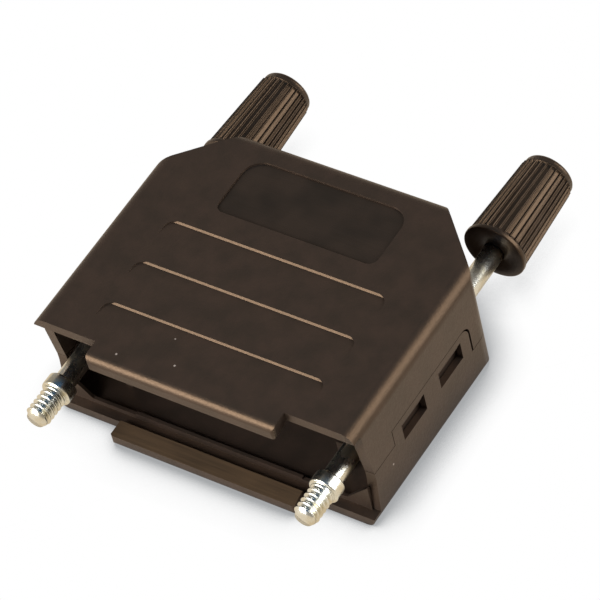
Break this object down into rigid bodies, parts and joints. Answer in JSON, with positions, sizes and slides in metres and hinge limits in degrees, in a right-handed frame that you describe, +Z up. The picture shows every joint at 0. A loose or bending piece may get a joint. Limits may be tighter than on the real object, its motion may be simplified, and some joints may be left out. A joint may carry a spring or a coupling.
{
  "type": "d-sub connector hood",
  "caption": "Snap-together moulded hood for a D-sub connector, straight cable exit at the back, with long captive thumbscrews.",
  "frame": {"origin": "on the flat underside, in the middle of the mouth's front edge", "axes": "+X across the connector, +Y from the mouth to the cable exit, +Z up"},
  "size_m": [0.0408, 0.0518, 0.0149],
  "materials": {
    "hood_plastic": "fine satin grain, black-brown",
    "knob_plastic": "satin, fluted grip",
    "plated_steel": "bright zinc plating",
    "clamp_steel": "zinc plating"
  },
  "bodies": {
    "hood": {"upper_shell": "hood_plastic", "lower_shell": "hood_plastic", "upper_saddle": "clamp_steel", "lower_saddle": "clamp_steel", "left_clamp_screw": "clamp_steel", "right_clamp_screw": "clamp_steel", "left_clamp_nut": "clamp_steel", "right_clamp_nut": "clamp_steel"},
    "left_rod": {"left_screw_rod": "plated_steel"},
    "right_rod": {"right_screw_rod": "plated_steel"},
    "left_grip": {"left_knob": "knob_plastic"},
    "right_grip": {"right_knob": "knob_plastic"}
  },
  "joints": [
    {"name": "left_screw_slide", "type": "slide", "parent": "hood", "child": "left_rod", "axis": [0, 1, 0], "range_m": [-0.0002, 0.0076]},
    {"name": "right_screw_slide", "type": "slide", "parent": "hood", "child": "right_rod", "axis": [0, 1, 0], "range_m": [-0.0009, 0.0069]},
    {"name": "left_knob_turn", "type": "hinge", "parent": "left_rod", "child": "left_grip", "pos_m": [-0.01666, 0.036, 0.00745], "axis": [0, -1, 0], "continuous": true},
    {"name": "right_knob_turn", "type": "hinge", "parent": "right_rod", "child": "right_grip", "pos_m": [0.01666, 0.036, 0.00745], "axis": [0, -1, 0], "continuous": true}
  ]
}
